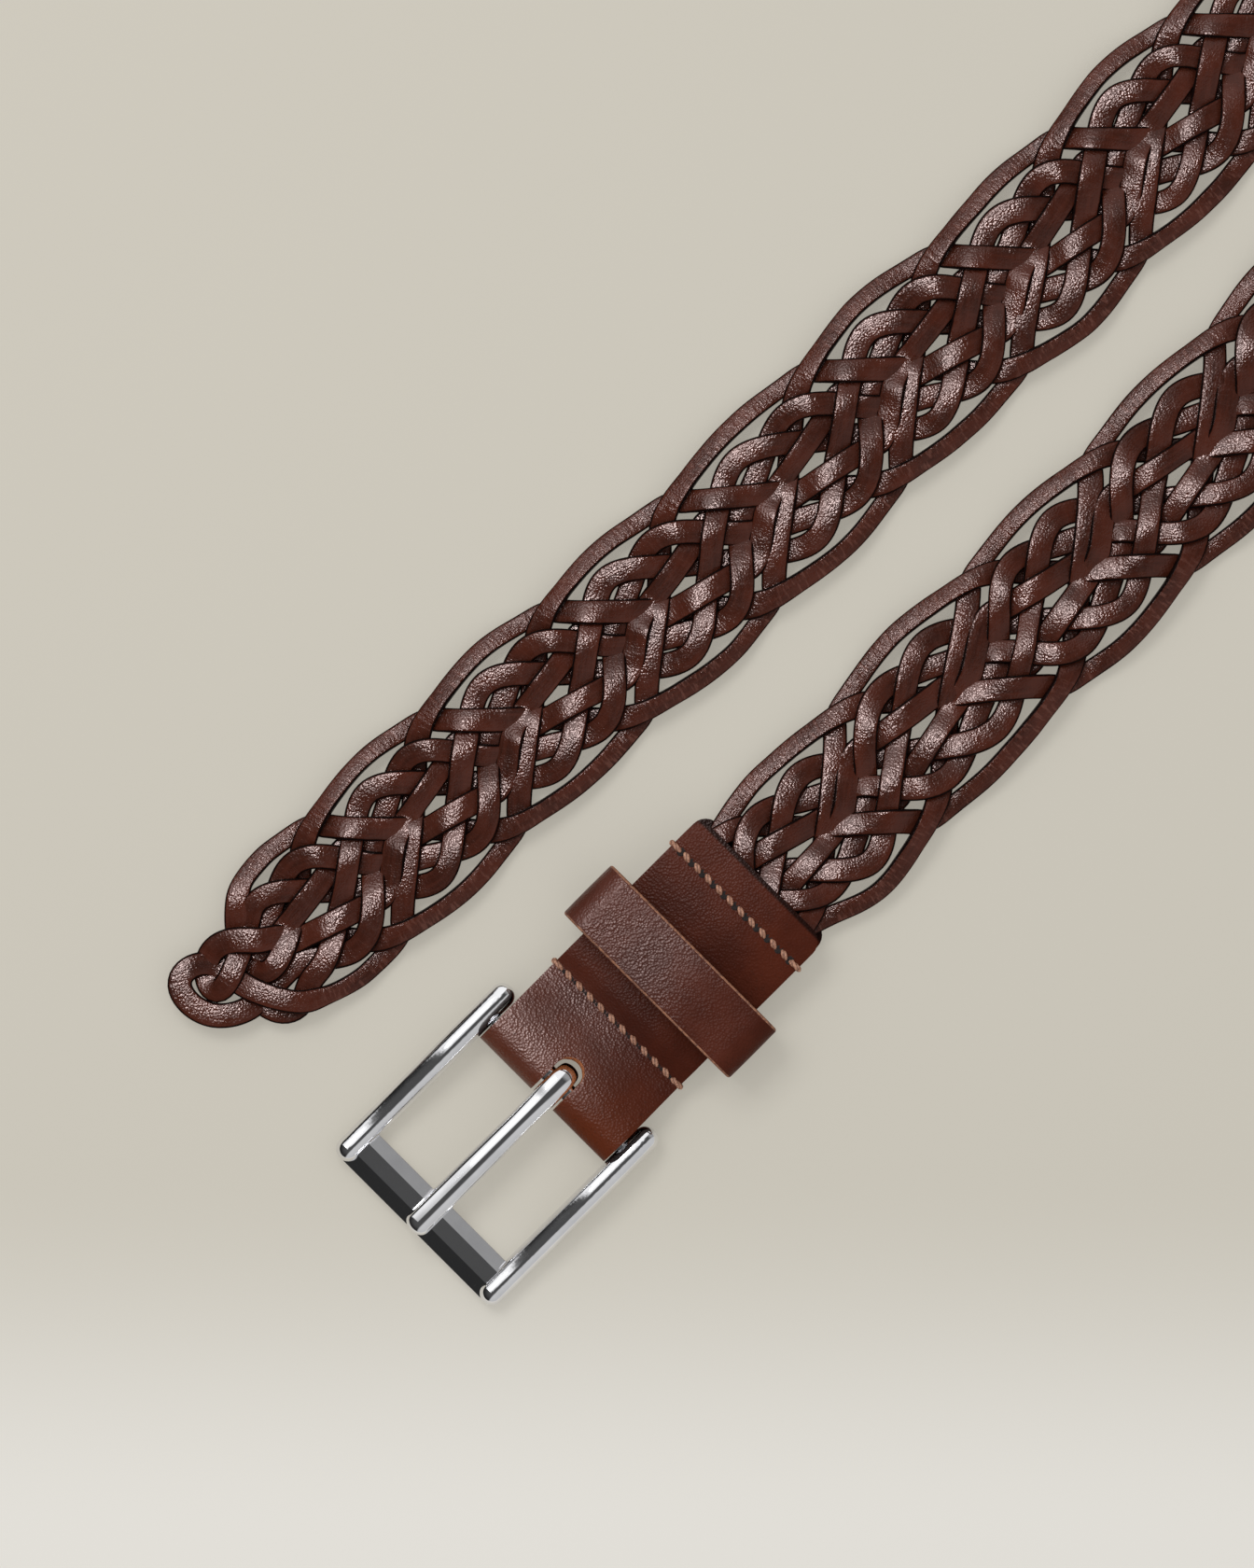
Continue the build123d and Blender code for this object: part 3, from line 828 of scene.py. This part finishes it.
def rounded_outline(length, width, radius, steps=6):
    """Corners of a rectangle with rounded ends, counter-clockwise, centred across."""
    outline = []
    corners = ((length - radius, width / 2 - radius, 0), (radius, width / 2 - radius, 90),
               (radius, radius - width / 2, 180), (length - radius, radius - width / 2, 270))
    for x, y, start in corners:
        for step in range(steps + 1):
            angle = math.radians(start + 90 * step / steps)
            outline.append((x + radius * math.cos(angle), y + radius * math.sin(angle)))
    return outline


def densify(outline, step):
    """Add points so that no side of a closed outline is longer than step."""
    dense = []
    for index, start in enumerate(outline):
        end = outline[(index + 1) % len(outline)]
        parts = max(1, math.ceil(math.dist(start, end) / step))
        for part in range(parts):
            share = part / parts
            dense.append((start[0] + (end[0] - start[0]) * share,
                          start[1] + (end[1] - start[1]) * share))
    return dense


def flat_tab(total, slot_start, fold_front):
    """The tab laid flat: points over its whole length with a slot about the fold, and its faces."""
    slot_length = 2 * (fold_front - slot_start)
    outline = densify(rounded_outline(total, TAB_WIDTH, TAB_CORNER), TAB_GRID)
    slot = rounded_outline(slot_length, SLOT_WIDTH, SLOT_WIDTH / 2 - 0.01, 10)
    slot = [(x + slot_start, y) for x, y in densify(slot, SLOT_GRID)]
    grid = []
    for x in np.arange(TAB_GRID, total - TAB_GRID / 2, TAB_GRID):
        for y in np.arange(-TAB_WIDTH / 2 + TAB_GRID, TAB_WIDTH / 2 - TAB_GRID / 2, TAB_GRID):
            from_middle = max(abs(x - fold_front) - (slot_length - SLOT_WIDTH) / 2, 0)
            clear_of_slot = math.hypot(from_middle, y) > SLOT_WIDTH / 2 + SLOT_CLEARANCE
            corner_x = min(x, total - x)
            corner_y = TAB_WIDTH / 2 - abs(y)
            in_corner = corner_x < TAB_CORNER and corner_y < TAB_CORNER
            reach = math.hypot(TAB_CORNER - corner_x, TAB_CORNER - corner_y)
            if clear_of_slot and not (in_corner and reach > TAB_CORNER - CORNER_CLEARANCE):
                grid.append((x, y))
    flat = outline + slot + grid
    edges = [(i, (i + 1) % len(outline)) for i in range(len(outline))]
    first = len(outline)
    edges += [(first + i, first + (i + 1) % len(slot)) for i in range(len(slot))]
    result = delaunay_2d_cdt([Vector(p) for p in flat], edges, [], 0, 1e-5)
    flat, faces = np.array([tuple(v) for v in result[0]]), result[2]
    centre = np.array([flat[list(face)].mean(0) for face in faces])
    from_middle = np.maximum(np.abs(centre[:, 0] - fold_front) - (slot_length - SLOT_WIDTH) / 2, 0)
    solid = np.hypot(from_middle, centre[:, 1]) > SLOT_WIDTH / 2 - SLOT_TOLERANCE
    first_side = flat[[face[1] for face in faces]] - flat[[face[0] for face in faces]]
    second_side = flat[[face[2] for face in faces]] - flat[[face[0] for face in faces]]
    area = np.abs(first_side[:, 0] * second_side[:, 1] - first_side[:, 1] * second_side[:, 0])
    solid &= area > SMALLEST_FACE
    return flat, [tuple(face) for face, keep in zip(faces, solid) if keep]


def build_tab():
    """Leather sheet with a long slot, folded round the heel pin."""
    points, distance = tab_path()
    fold_front = distance[np.argmin(points[:, 0])]
    slot_start = distance[np.argmax(points[:, 0] < SLOT_REACH)]
    flat, faces = flat_tab(distance[-1], slot_start, fold_front)
    x, z = resample(points, distance, flat[:, 0]).T
    in_front = flat[:, 0] < fold_front
    for seam in (FIRST_SEAM, SECOND_SEAM):
        groove = GROOVE_DEPTH * np.exp(-((x - seam) / GROOVE_WIDTH) ** 2)
        z = z - np.where(in_front, groove, 0.0)
    fall = EDGE_FALL * np.exp(-(TAB_WIDTH / 2 - np.abs(flat[:, 1])) / EDGE_FALL_WIDTH)
    z = z - np.where(in_front & (x > 1.0), fall, 0.0)
    vertices = np.stack([x, flat[:, 1], z], 1)
    piece = make_object("tab", vertices, faces, "strap", TAB_LEATHER)
    for material in (BURNISHED_EDGE, RAW_EDGE):
        piece.data.materials.append(material)
    thicken = piece.modifiers.new("thickness", "SOLIDIFY")
    thicken.thickness = LEATHER * MM
    thicken.offset = 0.0
    thicken.material_offset_rim = 1
    round_off = piece.modifiers.new("rounded edges", "BEVEL")
    round_off.width = EDGE_ROUNDING * MM
    round_off.segments = EDGE_STEPS
    round_off.limit_method = "ANGLE"
    round_off.angle_limit = SHARP_EDGE
    apply_modifiers(piece)
    burnished, raw = 1, 2
    for polygon in piece.data.polygons:
        middle = polygon.center / MM
        in_slot = abs(middle.y) < SLOT_WIDTH / 2 + 0.4 and middle.x < SLOT_END + 0.5
        if polygon.material_index == burnished and in_slot:
            polygon.material_index = raw
    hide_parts("chape")


def apply_modifiers(piece):
    """Turn a piece's modifiers into its mesh."""
    graph = bpy.context.evaluated_depsgraph_get()
    mesh = bpy.data.meshes.new_from_object(piece.evaluated_get(graph))
    piece.modifiers.clear()
    old = piece.data
    piece.data = mesh
    bpy.data.meshes.remove(old)
    mesh.polygons.foreach_set("use_smooth", [True] * len(mesh.polygons))


build_tab()

# --- Keeper ---
KEEPER_BACK = 1.3
KEEPER_CUT_SIDES = (0, 1, 2, 9, 10, 11, 12, 19)
KEEPER_CORNER = 3.5
KEEPER_SAG = 0.10
KEEPER_GRID = 0.8
STRIP_SECTION = np.array([
    (-0.500, -0.30), (-0.500, 0.30), (-0.490, 0.42), (-0.470, 0.49), (-0.445, 0.50), (-0.22, 0.515),
    (0.0, 0.52), (0.22, 0.515), (0.445, 0.50), (0.470, 0.49), (0.490, 0.42), (0.500, 0.30),
    (0.500, -0.30), (0.490, -0.42), (0.470, -0.49), (0.445, -0.50), (0.0, -0.50), (-0.445, -0.50),
    (-0.470, -0.49), (-0.490, -0.42),
])


def keeper_path():
    """Closed middle line of the keeper's ring across the strap, and its thickness."""
    width = KEEPER_HIGH[1] - KEEPER_LOW[1] - LEATHER
    top = KEEPER_HIGH[2] - LEATHER / 2
    bottom = KEEPER_LOW[2] + KEEPER_BACK / 2
    outline = rounded_outline(width, top - bottom, KEEPER_CORNER, 10)
    outline = np.array(densify(outline, KEEPER_GRID))
    across = outline[:, 0] - width / 2
    height = outline[:, 1] + (top + bottom) / 2
    lift = smooth_step((height - bottom) / 3.0)
    thickness = KEEPER_BACK + (LEATHER - KEEPER_BACK) * lift
    sag = KEEPER_SAG * np.cos(across / width * math.pi) * (height > bottom + 4)
    return across, height - sag, thickness


def build_keeper():
    """Leather ring round the tab's front layer."""
    across, height, thickness = keeper_path()
    centres = np.stack([np.full(len(across), KEEPER_X), across, height], 1)
    tangent = np.roll(centres, -1, 0) - np.roll(centres, 1, 0)
    tangent /= np.linalg.norm(tangent, axis=1)[:, None]
    width_axis = np.tile([1.0, 0.0, 0.0], (len(across), 1))
    normal = np.cross(tangent, width_axis)
    if np.sum(normal * (centres - centres.mean(0))) < 0:
        normal = -normal
    widths = np.full(len(across), KEEPER_HIGH[0] - KEEPER_LOW[0])
    vertices, faces = sweep_section(centres, width_axis, normal, STRIP_SECTION, widths, thickness,
                                    closed=True)
    piece = make_object("keeper", vertices, faces, "keeper", KEEPER_LEATHER)
    piece.data.materials.append(TAN_EDGE)
    for index, polygon in enumerate(piece.data.polygons):
        if index % len(STRIP_SECTION) in KEEPER_CUT_SIDES:
            polygon.material_index = 1
    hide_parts("keeper_loop")
    recalculate(piece)


def recalculate(piece):
    """Point every face outwards."""
    mesh = bmesh.new()
    mesh.from_mesh(piece.data)
    bmesh.ops.recalc_face_normals(mesh, faces=mesh.faces)
    mesh.to_mesh(piece.data)
    mesh.free()


build_keeper()

# --- Stitches ---
STITCH_PITCH = 2.62
STITCH_COUNT = 11
THREAD_RADIUS = 0.50
THREAD_SIDES = 14
PLIES = 3
PLY_RELIEF = 0.12
PLY_TWIST = 1.8
STITCH_LEAN = 0.6
STITCH_GAP = 0.56
STITCH_ENDS = 0.55
STITCH_SINK, STITCH_RISE = 0.45, 0.62
UNDER_SINK, UNDER_RISE = 0.60, 0.28
SHARE_POINTS = 13
WRAP_POINTS = 25
WRAP_THICKNESS = 0.95

# Rings of a hole's dished mark as (radius, height), from its middle out and down under the leather
HOLE_RINGS = ((0.0, 0.02), (0.50, 0.05), (0.80, 0.09), (0.95, -0.05), (0.0, -0.35))
HOLE_SIDES = 12
HOLE_SHARE = 0.8


def thread_section():
    """Angles and relative radii of a thread laid up from plies."""
    angles = np.arange(THREAD_SIDES) / THREAD_SIDES * 2 * math.pi
    return angles, 1.0 + PLY_RELIEF * np.cos(PLIES * angles)


def sweep_thread(points, radii):
    """A twisted thread along a short path."""
    tangent = directions(points)
    side = np.cross(tangent, [1.0, 0.0, 0.0])
    side /= np.maximum(np.linalg.norm(side, axis=1)[:, None], 1e-6)
    other = np.cross(tangent, side)
    angles, radius = thread_section()
    turn = angles[None, :] + (distances(points) * PLY_TWIST)[:, None]
    reach = radius[None, :] * radii[:, None]
    vertices = (points[:, None, :] + reach[..., None] * (
        np.cos(turn)[..., None] * side[:, None, :] + np.sin(turn)[..., None] * other[:, None, :]))
    plies = np.tile(np.cos(PLIES * angles), len(points))
    return vertices.reshape(-1, 3), bar_faces(len(points), len(angles)), plies


def build_seam(name, seam, node):
    """A row of stitches through both layers, wrapped round the tab's edges, and its holes."""
    top = layer_height(np.array([seam]))[0] + LEATHER / 2 - GROOVE_DEPTH
    bottom = FLOOR
    holes = (np.arange(STITCH_COUNT) - (STITCH_COUNT - 1) / 2) * STITCH_PITCH
    paths = []
    share = np.linspace(0, 1, SHARE_POINTS)
    arch = np.sin(share * math.pi) ** 0.6
    shape = STITCH_ENDS + (1 - STITCH_ENDS) * arch
    for start, end in zip(holes[:-1], holes[1:]):
        y = start + STITCH_GAP + (end - start - 2 * STITCH_GAP) * share
        lean = STITCH_LEAN * (share - 0.5)
        paths.append((np.stack([seam + lean, y, top - STITCH_SINK + STITCH_RISE * arch], 1), shape))
        paths.append((np.stack([seam - lean, y, bottom + UNDER_SINK - UNDER_RISE * arch], 1), shape))
    edge = TAB_WIDTH / 2
    for side, hole in ((-1, -holes[0]), (1, holes[-1])):
        corners = np.array([(hole + 0.3, top - 0.4), (hole + 0.6, top + 0.1), (edge - 0.2, top + 0.05),
                            (edge + 0.28, top - 0.55), (edge + 0.28, bottom + 0.9),
                            (edge - 0.3, bottom + 0.32), (hole + 0.3, bottom + 0.6)])
        last = len(corners) - 1
        y, z = resample(corners, np.arange(last + 1), np.linspace(0, last, WRAP_POINTS)).T
        points = np.stack([np.full(WRAP_POINTS, seam), side * y, z], 1)
        paths.append((points, np.full(WRAP_POINTS, WRAP_THICKNESS)))
    vertices, faces, plies, count = [], [], [], 0
    for points, shape in paths:
        part, sides, ply = sweep_thread(points, THREAD_RADIUS * shape)
        vertices.append(part)
        plies.append(ply)
        faces += [tuple(corner + count for corner in face) for face in sides]
        count += len(part)
    piece = make_object(name, np.concatenate(vertices), faces, "strap", THREAD)
    store(piece, "plies", np.concatenate(plies))
    recalculate(piece)
    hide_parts(node)
    build_holes(f"{name}_holes", seam, holes, top)


def build_holes(name, seam, holes, top):
    """Dished marks painted near-black as the shade inside the holes where the thread goes through the
    leather.
    """
    vertices, faces = [], []
    sides = HOLE_SIDES
    for y in holes:
        start = len(vertices)
        for radius, height in HOLE_RINGS:
            for step in range(sides if radius else 1):
                angle = 2 * math.pi * step / sides
                side_y = y + radius * HOLE_SHARE * math.sin(angle)
                vertices.append((seam + radius * math.cos(angle), side_y, top + height))
        bottom = len(vertices) - 1
        for step in range(sides):
            beside = (step + 1) % sides
            faces.append((start, start + 1 + step, start + 1 + beside))
            for ring in range(2):
                low = start + 1 + ring * sides
                faces.append((low + step, low + sides + step, low + sides + beside, low + beside))
            outer = start + 1 + 2 * sides
            faces.append((outer + step, bottom, outer + beside))
    piece = make_object(name, vertices, faces, "strap", PAINTED_HOLE_SHADE)
    recalculate(piece)


build_seam("seam_near_buckle", FIRST_SEAM, "seam_buckle_side")
build_seam("seam_near_braid", SECOND_SEAM, "seam_braid_side")

# --- Metal: a bent prong, and the parts that keep their CAD shape ---
PRONG_TIP = box_mm("prong")[0][0]

# Middle line of the prong from its tip to the hook round the heel pin: x, height, width, thickness
PRONG_NODES = np.array([
    (PRONG_TIP, 1.25, 4.6, 3.4), (-19.5, 2.0, 4.6, 3.7), (-8.9, 2.15, 4.3, 3.5),
    (-4.2, 2.45, 4.3, 3.0), (-1.6, 2.85, 4.35, 2.5), (0.3, 3.0, 4.35, 2.3), (1.7, 2.55, 4.2, 2.2),
    (2.7, 1.5, 3.9, 2.1), (3.1, 0.0, 3.6, 2.1), (2.6, -1.6, 3.6, 2.0), (1.4, -2.7, 3.6, 1.9),
    (0.0, -2.95, 3.6, 1.8),
])
PRONG_ROUND = 1.8
PRONG_STEP = 0.3
PRONG_EASING = 6
PRONG_SIDES = 36


def build_prong():
    """Prong of bent bar, rounded at its tip and hooked round the heel pin."""
    distance = distances(PRONG_NODES[:, :2])
    wanted = np.arange(0.0, distance[-1], PRONG_STEP)
    values = resample(PRONG_NODES, distance, wanted)
    for _ in range(PRONG_EASING):
        values[1:-1] += 0.25 * (values[:-2] + values[2:] - 2 * values[1:-1])
    share = np.clip(1 - wanted / PRONG_ROUND, 0.0, 0.999)
    rounding = np.sqrt(1 - share ** 2)
    centres = np.stack([values[:, 0], np.zeros(len(values)), values[:, 1]], 1)
    tangent = directions(centres)
    normal = np.stack([-tangent[:, 2], np.zeros(len(values)), tangent[:, 0]], 1)
    width_axis = np.tile([0.0, 1.0, 0.0], (len(values), 1))
    angles = np.arange(PRONG_SIDES) / PRONG_SIDES * 2 * math.pi
    section = np.stack([np.cos(angles), np.sin(angles)], 1) / 2
    vertices, faces = sweep_section(centres, width_axis, normal, section, values[:, 2] * rounding,
                                    values[:, 3] * rounding)
    piece = make_object("bent_prong", vertices, faces, "prong", NICKEL)
    recalculate(piece)
    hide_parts("prong")


build_prong()

for node in ("buckle_frame", "heel_pin", "keeper_staple"):
    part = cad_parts[node]
    part.data.materials.clear()
    part.data.materials.append(NICKEL)

# --- Floor, light and camera ---
VIEW_HEIGHT = 268.8
VIEW_CENTRE = (44.75, 27.9)
CAMERA_HEIGHT = 1400.0
AMBIENT = 0.88
LEFT_CARD, RIGHT_CARD, REAR_CARD = 1.0, 0.55, 0.30
OVERHEAD = 0.075
TABLE_GLOW = 0.5
TABLE_GAP = 0.25
TABLE_HALF = 2.5
SENSOR = 36.0

# Lights as (place, size, power)
KEY = ((100.0, 480.0, 700.0), (420.0, 320.0), 2.6)
SHEEN = ((60.0, 215.0, 760.0), (260.0, 110.0), 6.5)


def build_floor():
    """Plain pale light table that glows, with painted light making it a little brighter towards the
    picture's foot.
    """
    shader = new_material("pale_floor")
    x, y, _ = shader.split(shader.place())
    down = shader.sum("ADD", x, y)
    # Painted light: the floor's colour brightens towards the picture's foot.
    light = shader.ramp(down, -0.02, -0.11)
    tone = shader.blend(light, colour(199, 194, 182), colour(224, 221, 214))
    matt = shader.blend(0.5, tone, (0.0, 0.0, 0.0, 1.0))
    material = shader.finish(Base_Color=matt, Roughness=0.85, Specular_IOR_Level=0.2,
                             Emission_Color=tone, Emission_Strength=TABLE_GLOW)
    mesh = bpy.data.meshes.new("floor")
    signs = ((-1, -1), (1, -1), (1, 1), (-1, 1))
    z = (FLOOR - TABLE_GAP) * MM
    mesh.from_pydata([(x * TABLE_HALF, y * TABLE_HALF, z) for x, y in signs], [], [(0, 1, 2, 3)])
    mesh.materials.append(material)
    floor = bpy.data.objects.new("floor", mesh)
    bpy.context.scene.collection.objects.link(floor)


def add_light(name, place, size, power):
    """Rectangular soft light in millimetres, aimed at the middle of the view."""
    data = bpy.data.lights.new(name, "AREA")
    data.shape = "RECTANGLE"
    data.size, data.size_y = size[0] * MM, size[1] * MM
    data.energy = power
    light = bpy.data.objects.new(name, data)
    bpy.context.scene.collection.objects.link(light)
    light.location = Vector(place) * MM
    aim = (Vector((*VIEW_CENTRE, 0.0)) - Vector(place)).normalized()
    light.rotation_euler = aim.to_track_quat("-Z", "Y").to_euler()
    light.visible_camera = False
    return light


def light_only(light, pieces):
    """Keep a light from everything but the given pieces."""
    lit = bpy.data.collections.new(f"lit by {light.name}")
    for piece in pieces:
        lit.objects.link(piece)
    light.light_linking.receiver_collection = lit


def build_world():
    """Even soft light on matt surfaces, and a studio of bright cards and dark gaps in the shiny ones.

    The metal sees a wide white card on the strap's left, a dark band overhead, where the camera
    stands, a paler card low on the right, and darkness beyond the buckle's front bar.
    """
    world = bpy.data.worlds.new("studio")
    bpy.context.scene.world = world
    shader = Shader(world, "Background")
    forward, left, up = shader.split(shader.place("Generated"))
    left_card = shader.sum("MULTIPLY", shader.ramp(left, 0.08, 0.20), shader.ramp(forward, -0.20, -0.13))
    left_card = shader.sum("MULTIPLY", left_card, shader.ramp(left, 0.97, 0.90))
    cards = shader.sum("MAXIMUM", shader.sum("MULTIPLY", left_card, LEFT_CARD),
                       shader.ramp(left, -0.34, -0.52, 0.0, RIGHT_CARD))
    cards = shader.sum("MAXIMUM", cards, shader.ramp(forward, 0.55, 0.85, 0.0, REAR_CARD))
    cards = shader.sum("ADD", cards, shader.ramp(up, 0.2, 1.0, 0.02, OVERHEAD))
    in_gloss = shader.add("ShaderNodeLightPath").outputs["Is Glossy Ray"]
    on_matt = shader.ramp(up, 0.0, 0.8, 0.35, AMBIENT)
    shader.finish(Color=(1.0, 1.0, 1.0, 1.0), Strength=shader.blend(in_gloss, on_matt, cards, "FLOAT"))


def build_camera():
    """Camera straight above the belt's face, with the strap on the picture's diagonal."""
    data = bpy.data.cameras.new("camera")
    camera = bpy.data.objects.new("camera", data)
    bpy.context.scene.collection.objects.link(camera)
    diagonal = math.sqrt(0.5)
    right = Vector((diagonal, -diagonal, 0))
    up = Vector((diagonal, diagonal, 0))
    turn = Matrix((right, up, right.cross(up))).transposed()
    camera.rotation_euler = turn.to_euler()
    camera.location = Vector((*VIEW_CENTRE, CAMERA_HEIGHT)) * MM
    data.sensor_fit = "VERTICAL"
    data.sensor_height = SENSOR
    data.lens = SENSOR * CAMERA_HEIGHT / VIEW_HEIGHT
    data.clip_end = 20.0
    bpy.context.scene.camera = camera


build_floor()
build_world()
add_light("key", *KEY)
LEATHER_PIECES = [piece for piece in bpy.data.objects if piece.type == "MESH"
                  and piece.active_material in (LACE_LEATHER, TAB_LEATHER, KEEPER_LEATHER)]
sheen = add_light("sheen", *SHEEN)
sheen.visible_diffuse = False
light_only(sheen, LEATHER_PIECES)
bpy.context.scene.view_settings.view_transform = "Standard"
build_camera()
